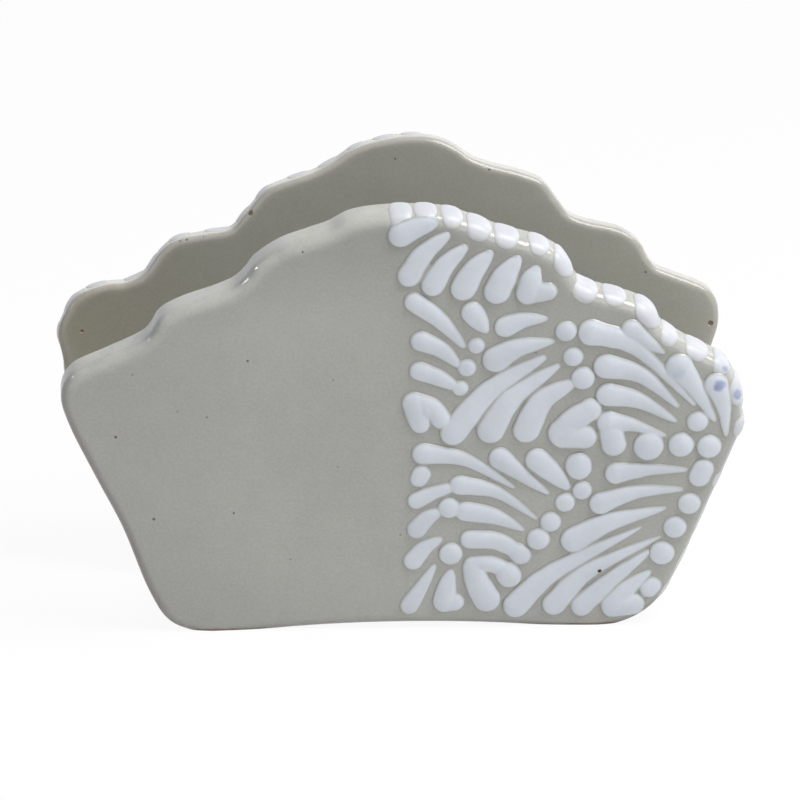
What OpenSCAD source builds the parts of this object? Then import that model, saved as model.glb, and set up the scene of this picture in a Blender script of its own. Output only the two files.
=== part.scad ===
// Napkin holder, slab built in stoneware: two scalloped panels that lean apart on a
// base slab, with raised white slip trailed over one half of each outer face.
// Millimetres. X runs across the panels, the front panel is at -Y and Z is up.
// The origin is in the middle of the footprint, on the surface that it stands on.

/* [Overall] */
// Width across the two side lobes
holder_w = 160; // [130:1:200]
// Height of a panel, measured up its outer face
panel_h = 105.5; // [85:0.5:140]
// Depth over the two outer faces at the foot
foot_depth = 53; // [44:0.5:90]
// Outward lean of each panel from upright, in degrees
panel_lean = 6.5; // [2:0.5:12]

/* [Panels] */
// Thickness of the rolled clay slab
panel_t = 9; // [6:0.5:11]
// Rounding of the sponged edges
edge_r = 2.5; // [1:0.25:2.75]
// Length of the shallow arch cut under each panel
arch_span = 56; // [30:1:70]
// Height of that arch in its middle
arch_rise = 1.1; // [0.5:0.1:2]

/* [Base] */
// Setback of each base end from the sides of the panels, level with its top
base_setback = 6; // [3:0.5:20]
// Thickness of the base slab
base_t = 8; // [5:0.5:12]
// Gap between the base slab and the surface that the feet stand on
base_lift = 2.2; // [2:0.1:4]
// Radius of the coil smoothed into each inside corner
seam_r = 6; // [3:0.5:9]

/* [Slip] */
// Width of the widest petal at its head
petal_w = 7.2; // [5:0.1:7.5]
// Width of the widest round dot
dot_w = 7.4; // [5:0.1:7.6]
// Width of the widest dab over the rim
dab_w = 6.4; // [4:0.1:6.4]
// Width of a dot or petal that rises by one millimetre
width_per_rise = 4.6; // [4:0.1:7]
// Gap left under a dab, where it crosses the facets of the rim
dab_gap = 0.1; // [0.08:0.01:0.2]

/* [Hidden] */

glaze_grey = [0.63, 0.63, 0.58];
clay_grey = [0.55, 0.53, 0.48];
slip_white = [0.88, 0.9, 0.93];

// Counts that set how finely the curves are cut
outline_steps = 3;
edge_steps = 3;
arch_steps = 8;
coil_steps = 6;
across_steps = 4;
dot_sides = 12;
dot_ring_angles = [0, 35, 65];

// A cutter runs past what it cuts by this much
overrun = 10;

half_w = holder_w / 2;
foot_half = foot_depth / 2;
edge_arc = edge_r * PI / 2;
rim_flat = panel_t - 2 * edge_r;
base_foot_half = foot_half - panel_t / cos(panel_lean);

// Every outline point is [share of the half width, share of the panel height],
// as seen from outside the panel, clockwise from the lower left corner.
left_side_shares = [
    [-0.56, -0.016], [-0.68, 0.016], [-0.748, 0.098], [-0.822, 0.25],
    [-0.9, 0.375], [-0.975, 0.5], [-1, 0.575]];

right_side_shares = [
    [0.995, 0.535], [0.966, 0.395], [0.895, 0.262], [0.838, 0.155],
    [0.778, 0.065], [0.7, 0.012], [0.59, -0.016]];

front_crest_shares = [
    [-0.967, 0.634], [-0.87, 0.668], [-0.785, 0.698], [-0.742, 0.727],
    [-0.706, 0.766], [-0.64, 0.79], [-0.55, 0.812], [-0.492, 0.834],
    [-0.457, 0.867], [-0.425, 0.898], [-0.355, 0.93], [-0.27, 0.951],
    [-0.215, 0.969], [-0.15, 0.993], [-0.06, 1], [0.06, 1],
    [0.14, 0.99], [0.21, 0.965], [0.29, 0.945], [0.38, 0.922],
    [0.45, 0.892], [0.488, 0.855], [0.522, 0.822], [0.6, 0.799],
    [0.68, 0.777], [0.73, 0.748], [0.765, 0.712], [0.85, 0.675],
    [0.937, 0.642], [0.982, 0.6]];

rear_crest_shares = [
    [-0.97, 0.628], [-0.866, 0.668], [-0.815, 0.686], [-0.786, 0.71],
    [-0.757, 0.747], [-0.7, 0.776], [-0.6, 0.797], [-0.546, 0.814],
    [-0.507, 0.853], [-0.465, 0.89], [-0.39, 0.913], [-0.31, 0.93],
    [-0.25, 0.949], [-0.205, 0.971], [-0.14, 0.99], [-0.05, 0.999],
    [0.045, 0.986], [0.115, 0.967], [0.165, 0.941], [0.23, 0.916],
    [0.32, 0.894], [0.375, 0.873], [0.43, 0.826], [0.48, 0.787],
    [0.56, 0.776], [0.64, 0.765], [0.69, 0.738], [0.735, 0.692],
    [0.79, 0.668], [0.86, 0.662], [0.94, 0.638], [0.984, 0.595]];

// A petal row is [points from head to tail, head width share, tail width share]:
// the points as on the outline, the head as a share of the widest petal and the
// tail as a share of the head.
front_crest_petal_shares = [
    [[[0.016, 0.86], [0.053, 0.918], [0.128, 0.953]], 0.73, 0.4],
    [[[0.083, 0.838], [0.115, 0.893], [0.182, 0.922]], 0.73, 0.4],
    [[[0.175, 0.83], [0.203, 0.88], [0.254, 0.91]], 0.83, 0.35],
    [[[0.274, 0.82], [0.297, 0.864], [0.336, 0.896]], 0.87, 0.3],
    [[[-0.008, 0.949], [0.03, 0.956], [0.074, 0.965]], 0.6, 0.4],
    [[[0.366, 0.812], [0.38, 0.845], [0.394, 0.87]], 0.8, 0.3],
    [[[0.424, 0.816], [0.37, 0.808]], 0.58, 1]];

rear_crest_petal_shares = [
    [[[0.012, 0.852], [0.046, 0.894], [0.106, 0.917]], 0.73, 0.4],
    [[[0.083, 0.834], [0.113, 0.87], [0.162, 0.887]], 0.73, 0.4],
    [[[0.172, 0.824], [0.196, 0.853], [0.234, 0.866]], 0.8, 0.35],
    [[[0.268, 0.813], [0.287, 0.835], [0.315, 0.848]], 0.82, 0.3],
    [[[-0.014, 0.938], [0.018, 0.94], [0.05, 0.94]], 0.6, 0.4],
    [[[0.352, 0.803], [0.36, 0.813], [0.37, 0.822]], 0.7, 0.5]];

left_feather_shares = [
    [[[0.035, 0.797], [0.11, 0.752], [0.178, 0.69]], 0.72, 0.3],
    [[[0.055, 0.703], [0.115, 0.681], [0.162, 0.645]], 0.72, 0.35],
    [[[0.05, 0.631], [0.105, 0.614], [0.15, 0.595]], 0.68, 0.55],
    [[[0.205, 0.77], [0.225, 0.748], [0.242, 0.728]], 0.8, 0.35],
    [[[0.302, 0.735], [0.355, 0.75], [0.42, 0.752]], 0.76, 0.2]];

left_dot_shares = [
    [0.217, 0.69, 0.57], [0.19, 0.637, 0.62], [0.171, 0.588, 0.56]];

centre_feather_shares = [
    [[[0.275, 0.657], [0.34, 0.684], [0.44, 0.697]], 0.9, 0.2],
    [[[0.152, 0.48], [0.258, 0.582], [0.412, 0.657]], 0.92, 0.3],
    [[[0.262, 0.485], [0.325, 0.563], [0.455, 0.637]], 0.95, 0.25],
    [[[0.367, 0.485], [0.412, 0.554], [0.49, 0.592]], 0.95, 0.45],
    [[[0.05, 0.508], [0.046, 0.552]], 0.84, 1],
    [[[0.06, 0.555], [0.112, 0.55]], 0.78, 1],
    [[[0.112, 0.512], [0.112, 0.545]], 0.8, 1]];

centre_dot_shares = [
    [0.48, 0.722, 0.72], [0.502, 0.66, 0.68], [0.532, 0.608, 0.8]];

corner_feather_shares = [
    [[[0.6, 0.637], [0.7, 0.606], [0.81, 0.54]], 0.84, 0.2],
    [[[0.608, 0.568], [0.69, 0.549], [0.8, 0.501]], 0.8, 0.2],
    [[[0.892, 0.382], [0.882, 0.364]], 0.74, 1]];

front_corner_edge_shares = [
    [[[0.565, 0.722], [0.72, 0.66], [0.855, 0.547]], 0.9, 0.2],
    [[[0.67, 0.714], [0.714, 0.686], [0.762, 0.662]], 0.7, 0.25],
    [[[0.812, 0.632], [0.858, 0.586], [0.913, 0.512]], 0.85, 0.22],
    [[[0.919, 0.58], [0.941, 0.526], [0.952, 0.466]], 0.73, 0.2]];

rear_corner_edge_shares = [
    [[[0.557, 0.71], [0.71, 0.645], [0.847, 0.538]], 0.9, 0.2],
    [[[0.65, 0.7], [0.68, 0.674], [0.716, 0.646]], 0.58, 0.25],
    [[[0.806, 0.612], [0.852, 0.572], [0.911, 0.504]], 0.85, 0.22],
    [[[0.91, 0.57], [0.935, 0.52], [0.952, 0.462]], 0.7, 0.2]];

corner_dot_shares = [
    [0.872, 0.498, 0.72], [0.825, 0.442, 0.86], [0.908, 0.437, 0.82]];

heart_shares = [
    [[[0.547, 0.527], [0.495, 0.524]], 0.86, 1],
    [[[0.495, 0.524], [0.474, 0.472]], 0.88, 1],
    [[[0.543, 0.463], [0.474, 0.47]], 0.9, 1],
    [[[0.636, 0.446], [0.628, 0.5]], 0.92, 1],
    [[[0.622, 0.51], [0.7, 0.494], [0.775, 0.467]], 0.8, 0.2],
    [[[0.527, 0.4], [0.53, 0.39]], 0.88, 0.95]];

heart_dot_shares = [
    [0.731, 0.441, 0.95], [0.535, 0.334, 0.66], [0.485, 0.305, 0.68],
    [0.443, 0.258, 0.72], [0.407, 0.216, 0.78]];

side_feather_shares = [
    [[[0.635, 0.371], [0.735, 0.378], [0.833, 0.378]], 0.84, 0.2],
    [[[0.593, 0.303], [0.69, 0.331], [0.825, 0.331]], 0.84, 0.2]];

side_dot_shares = [
    [0.853, 0.298, 0.76], [0.812, 0.24, 0.78], [0.775, 0.177, 0.84]];

foot_feather_shares = [
    [[[0.513, 0.213], [0.62, 0.256], [0.78, 0.286]], 0.9, 0.15],
    [[[0.343, 0.053], [0.457, 0.136], [0.7, 0.235]], 0.9, 0.15],
    [[[0.457, 0.055], [0.556, 0.134], [0.745, 0.213]], 0.82, 0.15],
    [[[0.55, 0.05], [0.627, 0.11], [0.725, 0.166]], 0.78, 0.28],
    [[[0.646, 0.05], [0.69, 0.094], [0.738, 0.13]], 0.78, 0.25],
    [[[0.692, 0.052], [0.644, 0.046]], 0.78, 1],
    [[[0.748, 0.096], [0.739, 0.089]], 0.66, 1]];

low_left_feather_shares = [
    [[[0.056, 0.424], [0.19, 0.404], [0.34, 0.337]], 0.78, 0.2],
    [[[0.288, 0.424], [0.35, 0.376], [0.43, 0.328]], 0.8, 0.25],
    [[[0.4, 0.42], [0.448, 0.375], [0.482, 0.348]], 0.87, 0.42],
    [[[0.045, 0.315], [0.09, 0.332], [0.145, 0.346]], 0.62, 0.6],
    [[[0.175, 0.35], [0.285, 0.325], [0.392, 0.272]], 0.72, 0.2],
    [[[0.19, 0.287], [0.28, 0.272], [0.36, 0.239]], 0.74, 0.2],
    [[[0.047, 0.245], [0.075, 0.27], [0.103, 0.283]], 0.68, 0.6],
    [[[0.037, 0.168], [0.068, 0.197], [0.112, 0.217]], 0.7, 0.4],
    [[[0.026, 0.056], [0.06, 0.1], [0.098, 0.152]], 0.64, 0.3],
    [[[0.205, 0.218], [0.285, 0.212], [0.345, 0.184]], 0.7, 0.75],
    [[[0.348, 0.183], [0.357, 0.177]], 0.7, 1],
    [[[0.13, 0.066], [0.138, 0.105], [0.148, 0.138]], 0.8, 0.3],
    [[[0.16, 0.064], [0.13, 0.06]], 0.66, 1],
    [[[0.256, 0.07], [0.23, 0.108], [0.216, 0.15]], 0.92, 0.6],
    [[[0.216, 0.158], [0.27, 0.157], [0.322, 0.135]], 0.5, 1],
    [[[0.318, 0.132], [0.322, 0.126]], 0.86, 1],
    [[[0.059, 0.38], [0.052, 0.369]], 0.64, 0.95]];

low_left_dot_shares = [
    [0.141, 0.296, 0.74], [0.148, 0.183, 0.8]];

// A dab row is [share of the outline's run, width share, reach onto the face past
// the rounded edge as a share of that rounding].
dab_shares = [
    [0.5, 0.82, -0.1], [0.5175, 0.82, -0.1], [0.535, 0.78, 0], [0.557, 0.92, 0.4],
    [0.5775, 0.86, 0.2], [0.5995, 0.75, 0.3], [0.6205, 1, 0.1],
    [0.6465, 0.88, 0.3], [0.667, 0.88, 0.1], [0.6845, 0.78, 0.1],
    [0.7, 0.74, 0.1], [0.716, 0.66, -0.1], [0.737, 0.92, 0],
    [0.7585, 0.78, -0.1], [0.777, 0.95, -0.3], [0.799, 0.85, -0.4],
    [0.847, 0.6, -0.55], [0.927, 0.55, -0.5], [0.955, 0.5, -0.5]];

// Half width of a panel level with the top of the base
base_level_share = 0.748;
base_len = 2 * (base_level_share * half_w - base_setback);

// How far each panel's dabs cross the flat of the rim
front_dab_share = 1;
rear_dab_share = 0.45;

// Smooth curve through hand chosen points
function point_of(pts, i) = pts[max(0, min(len(pts) - 1, i))];

function curve_point(pts, t) =
    let (i = min(floor(t), len(pts) - 2))
    let (f = t - i)
    let (a = point_of(pts, i - 1))
    let (b = pts[i])
    let (c = pts[i + 1])
    let (d = point_of(pts, i + 2))
    b + f * (c - a) / 2
      + f * f * (2 * a - 5 * b + 4 * c - d) / 2
      + f * f * f * (3 * b - a - 3 * c + d) / 2;

function on_face(share) = [share.x * half_w, share.y * panel_h];

function outline(crest_shares) =
    let (shares = concat(left_side_shares, crest_shares, right_side_shares))
    [for (k = [0 : (len(shares) - 1) * outline_steps])
        on_face(curve_point(shares, k / outline_steps))];

function unit(v) = v / norm(v);

// Outward direction of the outline at one of its points
function out_at(pts, i) =
    let (n = len(pts))
    let (run = unit(pts[(i + 1) % n] - pts[(i + n - 1) % n]))
    [-run.y, run.x];

// Each ring of the slab's edge is [inset from the outline, depth below the face]
edge_rings = concat(
    [for (k = [0 : edge_steps]) let (a = 90 * k / edge_steps)
        [edge_r * (1 - sin(a)), edge_r * (1 - cos(a))]],
    [for (k = [0 : edge_steps]) let (a = 90 * k / edge_steps)
        [edge_r * (1 - cos(a)), panel_t - edge_r * (1 - sin(a))]]);

function two_triangles(a, b, c, d) = [[a, b, c], [a, c, d]];

// The slab lies in X and Y with its outer face at Z = 0 and its inner face below
module slab(crest_shares) {
    pts = outline(crest_shares);
    n = len(pts);
    rings = len(edge_rings);
    centre = [0, panel_h / 2];
    rim = [for (ring = edge_rings, i = [0 : n - 1])
        let (p = pts[i] - out_at(pts, i) * ring[0])
        [p.x, p.y, -ring[1]]];
    caps = [[centre.x, centre.y, 0], [centre.x, centre.y, -panel_t]];
    sides = [for (k = [0 : rings - 2], i = [0 : n - 1])
        let (j = (i + 1) % n)
        each two_triangles(k * n + i, (k + 1) * n + i, (k + 1) * n + j, k * n + j)];
    outer = [for (i = [0 : n - 1]) [rings * n, i, (i + 1) % n]];
    last = (rings - 1) * n;
    inner = [for (i = [0 : n - 1]) [rings * n + 1, last + (i + 1) % n, last + i]];
    polyhedron(concat(rim, caps), concat(sides, outer, inner));
}

// Stands what was drawn flat up as the front panel stands
module lean_front() {
    translate([0, -foot_half, 0])
        rotate([90 + panel_lean, 0, 0])
            children();
}

// The rear of the holder is the front turned half way round
module turn_to_rear() {
    rotate([0, 0, 180])
        children();
}

module foot_arch() {
    arc = [for (k = [0 : arch_steps])
        let (x = arch_span * (k / arch_steps - 1 / 2))
        [x, arch_rise * (1 - pow(2 * x / arch_span, 2))]];
    low = [[arch_span / 2, -overrun], [-arch_span / 2, -overrun]];
    translate([0, overrun, 0])
        rotate([90, 0, 0])
            linear_extrude(foot_half + panel_t + 2 * overrun)
                polygon(concat(arc, low));
}

module under_floor() {
    translate([-holder_w, -foot_depth, -overrun])
        cube([2 * holder_w, 2 * foot_depth, overrun]);
}

module standing_slab(crest_shares) {
    difference() {
        lean_front() slab(crest_shares);
        under_floor();
        foot_arch();
    }
}

module front_panel() {
    color(glaze_grey) standing_slab(front_crest_shares);
}

module rear_panel() {
    color(glaze_grey) turn_to_rear() standing_slab(rear_crest_shares);
}

// Half width of the space between the inner faces at a height above the table
function inside_half(z) = base_foot_half + z * tan(panel_lean);

base_top = base_lift + base_t;

module base_slab() {
    low = inside_half(base_lift);
    high = inside_half(base_top);
    color(clay_grey)
        translate([-base_len / 2, 0, 0])
            rotate([90, 0, 90])
                linear_extrude(base_len)
                    polygon([[-low, base_lift], [low, base_lift],
                             [high, base_top], [-high, base_top]]);
}

// A coil smoothed to a hollow round in the corner of the base and a panel
module seam_coil() {
    open_angle = 90 + panel_lean;
    corner = [-inside_half(base_top), base_top];
    reach = seam_r / tan(open_angle / 2);
    hub = corner + [reach, seam_r];
    arc = [for (k = [0 : coil_steps])
        let (a = 270 - (180 - open_angle) * k / coil_steps)
        hub + seam_r * [cos(a), sin(a)]];
    translate([-base_len / 2, 0, 0])
        rotate([90, 0, 90])
            linear_extrude(base_len)
                polygon(concat([corner], arc));
}

module front_seam_coil() {
    color(clay_grey) seam_coil();
}

module rear_seam_coil() {
    color(clay_grey) turn_to_rear() seam_coil();
}

// Closed skin over rows of points, each row a loop seen from its end, between a
// first and a last point
module lofted(first, rows, last) {
    n = len(rows[0]);
    m = len(rows);
    pts = concat([first], [for (row = rows) each row], [last]);
    tip = len(pts) - 1;
    start = [for (j = [0 : n - 1]) [0, 1 + (j + 1) % n, 1 + j]];
    body = [for (k = [0 : m - 2], j = [0 : n - 1])
        let (a = 1 + k * n, b = a + n, i = (j + 1) % n)
        each two_triangles(a + j, a + i, b + i, b + j)];
    end = [for (j = [0 : n - 1])
        let (a = 1 + (m - 1) * n)
        [tip, a + j, a + (j + 1) % n]];
    polyhedron(pts, concat(start, body, end));
}

// Rings along a petal: [share of its length, share of the cap's radius past the
// end, share of the width there]
head_cap_angles = [30, 60];
body_ring_shares = [0, 0.25, 0.5, 0.75, 1];
tail_cap_angle = 45;
taper_power = 1.5;

function rise_of(half_width) = 2 * half_width / width_per_rise;

// One petal or short trail of slip on the face, domed and flat underneath
module petal(row) {
    spine = [for (share = row[0]) on_face(share)];
    spans = len(spine) - 1;
    head_r = row[1] * petal_w / 2;
    tail_r = head_r * row[2];
    head_run = unit(curve_point(spine, spans / 10) - spine[0]);
    tail_run = unit(spine[spans] - curve_point(spine, spans * 9 / 10));
    head_rings = [for (a = head_cap_angles)
        [spine[0] - head_r * cos(a) * head_run, head_run, head_r * sin(a)]];
    body_rings = [for (t = body_ring_shares)
        let (near = curve_point(spine, spans * max(0, t - 1 / 20)))
        let (far = curve_point(spine, spans * min(1, t + 1 / 20)))
        [curve_point(spine, spans * t), unit(far - near),
         head_r + (tail_r - head_r) * pow(t, taper_power)]];
    tail_ring = [spine[spans] + tail_r * cos(tail_cap_angle) * tail_run, tail_run,
                 tail_r * sin(tail_cap_angle)];
    rows = [for (ring = concat(head_rings, body_rings, [tail_ring]))
        let (side = [ring[1].y, -ring[1].x])
        [for (j = [0 : across_steps])
            let (a = 180 * j / across_steps)
            let (p = ring[0] + side * ring[2] * cos(a))
            [p.x, p.y, rise_of(ring[2]) * sin(a)]]];
    first = spine[0] - head_r * head_run;
    last = spine[spans] + tail_r * tail_run;
    lofted([first.x, first.y, 0], rows, [last.x, last.y, 0]);
}

// One round dot: a dome on its round foot
module dot(row) {
    foot_r = row[2] * dot_w / 2;
    rise = rise_of(foot_r);
    place = on_face(row);
    rows = [for (climb = dot_ring_angles)
        [for (j = [0 : dot_sides - 1])
            let (a = -360 * j / dot_sides)
            [foot_r * cos(climb) * cos(a), foot_r * cos(climb) * sin(a),
             rise * sin(climb)]]];
    translate([place.x, place.y, 0])
        lofted([0, 0, 0], rows, [0, 0, rise]);
}

module slip_group(petal_shares, dot_shares) {
    color(slip_white)
        lean_front() {
            for (row = petal_shares) petal(row);
            for (row = dot_shares) dot(row);
        }
}

// The skin of a panel near its rim: from a run along the outline and a distance
// over the edge, measured from where the face ends, to [point, outward direction]
function skin(pts, runs, run, over) =
    let (place = lookup(run, runs))
    let (i = min(floor(place), len(pts) - 2))
    let (f = place - i)
    let (p = pts[i] + f * (pts[i + 1] - pts[i]))
    let (out = unit(out_at(pts, i) + f * (out_at(pts, i + 1) - out_at(pts, i))))
    let (a = max(0, min(90, 90 * over / edge_arc)))
    let (b = max(0, 90 * (over - edge_arc - rim_flat) / edge_arc))
    let (inset = edge_r * (1 - sin(a)) + max(0, -over) + edge_r * (1 - cos(b)))
    let (depth = edge_r * (1 - cos(a)) + max(0, min(rim_flat, over - edge_arc))
                 + edge_r * sin(b))
    let (flat = p - out * inset)
    let (lift = sin(a) * cos(b))
    [[flat.x, flat.y, -depth],
     [out.x * lift, out.y * lift, cos(a) - sin(b)]];

// Share of the full width left at a distance from a rounded end
function round_end(distance, half) =
    let (x = max(0, min(1, distance / half)))
    sqrt(1 - (1 - x) * (1 - x));

// One dab laid over the rim, from a tip near the face to the flat of the rim
module dab(pts, runs, row, rim_share) {
    total = runs[len(runs) - 1][0];
    run = row[0] * total;
    half = row[1] * dab_w / 2;
    tip = -row[2] * edge_r;
    end = edge_arc + rim_share * (rim_flat + edge_arc / edge_steps);
    turns = [for (k = [0 : edge_steps]) edge_arc * k / edge_steps];
    marks = concat([tip + half / 6], [for (turn = turns) if (turn > tip + half / 3) turn],
                   [(edge_arc + end) / 2, end - half / 6]);
    rows = [for (mark = marks)
        let (w = half * round_end(mark - tip, half) * round_end(end - mark, half / 2))
        concat(
            [for (j = [0 : across_steps])
                let (a = 180 * j / across_steps)
                let (s = skin(pts, runs, run + w * cos(a), mark))
                s[0] + s[1] * (dab_gap + rise_of(w) * sin(a))],
            [for (j = [1 : across_steps - 1])
                let (s = skin(pts, runs, run - w + 2 * w * j / across_steps, mark))
                s[0] + s[1] * dab_gap])];
    first = skin(pts, runs, run, tip);
    last = skin(pts, runs, run, end);
    lofted(first[0] + first[1] * dab_gap, rows, last[0] + last[1] * dab_gap);
}

module rim_dabs(crest_shares, rim_share) {
    pts = outline(crest_shares);
    runs = [for (i = 0, run = 0; i < len(pts);
                 run = run + (i + 1 < len(pts) ? norm(pts[i + 1] - pts[i]) : 0), i = i + 1)
        [run, i]];
    color(slip_white)
        lean_front()
            for (row = dab_shares) dab(pts, runs, row, rim_share);
}

// The corner feather has petals of its own on each face where it meets the rim
module corner_feather(edge_shares) {
    slip_group(concat(corner_feather_shares, edge_shares), corner_dot_shares);
}

module front_rim_dabs() rim_dabs(front_crest_shares, front_dab_share);
module front_crest_petals() slip_group(front_crest_petal_shares, []);
module front_left_feather() slip_group(left_feather_shares, left_dot_shares);
module front_centre_feather() slip_group(centre_feather_shares, centre_dot_shares);
module front_corner_feather() corner_feather(front_corner_edge_shares);
module front_hearts() slip_group(heart_shares, heart_dot_shares);
module front_side_feather() slip_group(side_feather_shares, side_dot_shares);
module front_foot_feather() slip_group(foot_feather_shares, []);
module front_low_left_feather() slip_group(low_left_feather_shares, low_left_dot_shares);

module rear_rim_dabs() turn_to_rear() rim_dabs(rear_crest_shares, rear_dab_share);
module rear_crest_petals() turn_to_rear() slip_group(rear_crest_petal_shares, []);
module rear_left_feather() turn_to_rear() front_left_feather();
module rear_centre_feather() turn_to_rear() front_centre_feather();
module rear_corner_feather() turn_to_rear() corner_feather(rear_corner_edge_shares);
module rear_hearts() turn_to_rear() front_hearts();
module rear_side_feather() turn_to_rear() front_side_feather();
module rear_foot_feather() turn_to_rear() front_foot_feather();
module rear_low_left_feather() turn_to_rear() front_low_left_feather();

front_panel();
rear_panel();
base_slab();
front_seam_coil();
rear_seam_coil();
front_rim_dabs();
front_crest_petals();
front_left_feather();
front_centre_feather();
front_corner_feather();
front_hearts();
front_side_feather();
front_foot_feather();
front_low_left_feather();
rear_rim_dabs();
rear_crest_petals();
rear_left_feather();
rear_centre_feather();
rear_corner_feather();
rear_hearts();
rear_side_feather();
rear_foot_feather();
rear_low_left_feather();
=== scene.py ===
# %% [markdown]
# # A slab-built napkin holder with trailed slip
#
# The real holder is two rolled slabs of stoneware that lean apart on a third slab, the
# base. Each slab was cut to a fan with a scalloped crest and its edges were rounded with
# a damp sponge. White slip, which is clay as thin as cream, was then squeezed on from a
# fine nozzle as petals, dots and hearts, and the whole holder was glazed and fired.
#
# The first cell loads the measured frame. Each piece made below stands where a piece of
# the frame stands, in metres, so that nothing has to be fitted afterwards.

# %% Load the frame
import math

import bmesh
import bpy
import numpy
from mathutils import Matrix, Vector, kdtree, noise


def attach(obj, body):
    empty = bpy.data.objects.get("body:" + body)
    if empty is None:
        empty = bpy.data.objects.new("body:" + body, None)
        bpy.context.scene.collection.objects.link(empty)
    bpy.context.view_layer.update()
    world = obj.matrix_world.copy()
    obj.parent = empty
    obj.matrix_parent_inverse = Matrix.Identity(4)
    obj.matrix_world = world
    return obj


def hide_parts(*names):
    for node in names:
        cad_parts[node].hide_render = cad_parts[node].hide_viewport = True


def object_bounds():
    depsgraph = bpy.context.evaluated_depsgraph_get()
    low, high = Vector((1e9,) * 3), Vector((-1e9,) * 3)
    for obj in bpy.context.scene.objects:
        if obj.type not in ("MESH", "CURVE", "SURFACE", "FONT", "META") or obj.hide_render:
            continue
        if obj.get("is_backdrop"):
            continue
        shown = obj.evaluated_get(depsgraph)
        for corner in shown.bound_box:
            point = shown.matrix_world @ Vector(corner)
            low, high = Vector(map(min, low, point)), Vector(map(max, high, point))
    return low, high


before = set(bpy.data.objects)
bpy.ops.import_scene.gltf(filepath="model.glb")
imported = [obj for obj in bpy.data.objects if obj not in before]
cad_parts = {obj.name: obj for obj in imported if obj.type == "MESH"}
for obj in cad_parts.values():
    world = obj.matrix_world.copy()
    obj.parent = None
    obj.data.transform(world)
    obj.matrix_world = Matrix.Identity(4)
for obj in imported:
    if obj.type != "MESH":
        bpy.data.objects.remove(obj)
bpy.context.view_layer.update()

# %% [markdown]
# ## The sizes of the clay
#
# A potter works in millimetres, so the shapes are drawn in millimetres too, and one
# matrix brings each finished piece to metres and stands it up. Every place on a panel is
# a share: first of half the width, then of the panel's height. A share stays right when
# the whole piece is made larger or smaller.

# %% Sizes
MM = 0.001
HALF_WIDTH = 80.0
PANEL_HEIGHT = 105.5
FOOT_HALF = 26.5
LEAN = math.radians(6.5)
SLAB = 9.0
EDGE_ROUND = 2.5
INNER_ROUND = 1.4

print(f"panel {2 * HALF_WIDTH:.0f} wide, {PANEL_HEIGHT:.1f} up its face, {SLAB:.0f} thick")

# %% [markdown]
# ## The hand-cut outlines
#
# A scallop was cut by eye with a needle, so no two are alike and a formula would look
# too even. The outline is therefore a row of chosen points, clockwise from the lower
# left corner as seen from outside, and a smooth curve runs through them. The two panels
# share their sides, but each has a crest of its own.

# %% Outline points
left_side_shares = [
    (-0.56, -0.016), (-0.68, 0.016), (-0.748, 0.098), (-0.822, 0.25), (-0.9, 0.375),
    (-0.975, 0.5), (-1, 0.575),
]
right_side_shares = [
    (0.966, 0.395), (0.895, 0.262), (0.838, 0.155), (0.778, 0.065), (0.7, 0.012),
    (0.59, -0.016),
]
front_crest_shares = [
    (-0.967, 0.6298), (-0.87, 0.6668), (-0.785, 0.6968), (-0.742, 0.7198),
    (-0.706, 0.7618), (-0.64, 0.7898), (-0.55, 0.8138), (-0.492, 0.8338),
    (-0.457, 0.8588), (-0.425, 0.8898), (-0.355, 0.9258), (-0.27, 0.9498),
    (-0.215, 0.9648), (-0.15, 0.9908), (-0.06, 1.0018), (0.06, 1.0028), (0.14, 0.9948),
    (0.21, 0.9748), (0.29, 0.9498), (0.38, 0.9298), (0.45, 0.9038), (0.49, 0.8638),
    (0.524, 0.8248), (0.6, 0.8028), (0.68, 0.7838), (0.73, 0.7588), (0.767, 0.7178),
    (0.85, 0.6748), (0.937, 0.6398), (0.982, 0.5958), (1.004, 0.535), (1.008, 0.49),
    (0.996, 0.455),
]
rear_crest_shares = [
    (-0.972, 0.635), (-0.866, 0.672), (-0.815, 0.688), (-0.786, 0.712), (-0.757, 0.75),
    (-0.7, 0.779), (-0.6, 0.798), (-0.546, 0.816), (-0.507, 0.854), (-0.465, 0.893),
    (-0.39, 0.916), (-0.31, 0.932), (-0.25, 0.95), (-0.205, 0.974), (-0.14, 0.995),
    (-0.05, 1.0), (0.045, 0.988), (0.115, 0.969), (0.165, 0.944), (0.23, 0.919),
    (0.32, 0.897), (0.375, 0.876), (0.43, 0.828), (0.48, 0.79), (0.56, 0.78),
    (0.64, 0.768), (0.69, 0.741), (0.735, 0.695), (0.79, 0.672), (0.86, 0.666),
    (0.94, 0.643), (0.984, 0.598), (1.003, 0.553), (0.99, 0.5),
]
CRESTS = {"front": front_crest_shares, "rear": rear_crest_shares}
print("points on the crests:", {side: len(crest) for side, crest in CRESTS.items()})

# %% [markdown]
# ## One curve for everything
#
# Outline and strokes both need a curve that runs through its points and not only near
# them, because the points were chosen on the object. A Bezier curve would need handles
# for each point. A Catmull-Rom spline needs none: its direction at a point is that from
# the point before to the point after.

# %% A smooth curve through chosen points
OUTLINE_STEPS = 10
FOOT_STEPS = 60
ARCH_SPAN = 51.85
ARCH_RISE = 0.85


def curve_point(points, t):
    """The place t spans along a smooth curve that runs through the points."""
    i = min(int(t), len(points) - 2)
    f = t - i
    a, b = points[max(i - 1, 0)], points[i]
    c, d = points[i + 1], points[min(i + 2, len(points) - 1)]
    return (b + f * (c - a) / 2 + f * f * (2 * a - 5 * b + 4 * c - d) / 2
            + f ** 3 * (3 * b - a - 3 * c + d) / 2)


def on_face(share):
    """A place on the panel's outer face, in millimetres, from its shares."""
    return Vector((share[0] * HALF_WIDTH, share[1] * PANEL_HEIGHT, 0.0))


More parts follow.
